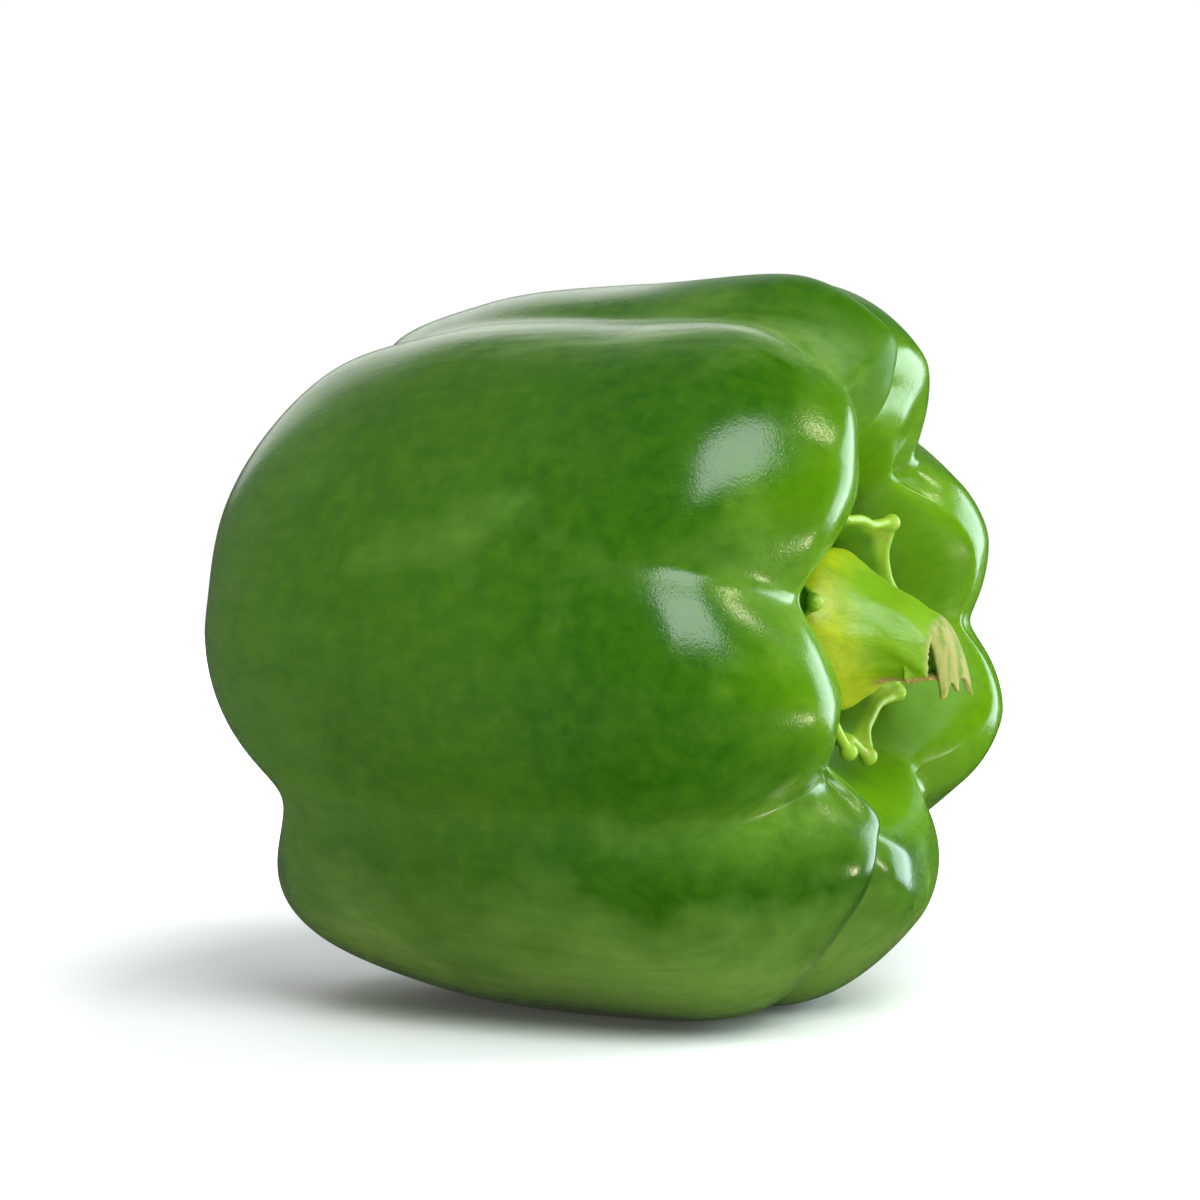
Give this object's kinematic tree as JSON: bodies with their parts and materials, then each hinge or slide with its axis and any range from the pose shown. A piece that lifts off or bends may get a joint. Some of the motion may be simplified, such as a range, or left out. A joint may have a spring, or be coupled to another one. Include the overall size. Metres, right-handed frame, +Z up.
{
  "type": "green bell pepper",
  "caption": "Whole green bell pepper lying on its side, with blunt lobes, knuckled shoulders round a deep stem cavity, a toothed calyx and a torn stem.",
  "frame": {"origin": "middle of the bounding box's underside, on the surface that the pepper lies on", "axes": "+X along the pepper toward its stem end, +Y toward its back, +Z up"},
  "size_m": [0.0838, 0.0842, 0.0853],
  "materials": {
    "skin": null,
    "calyx": null,
    "stem": null
  },
  "bodies": {
    "root": {"fruit": "skin", "calyx": "calyx", "stem": "stem"}
  },
  "joints": []
}
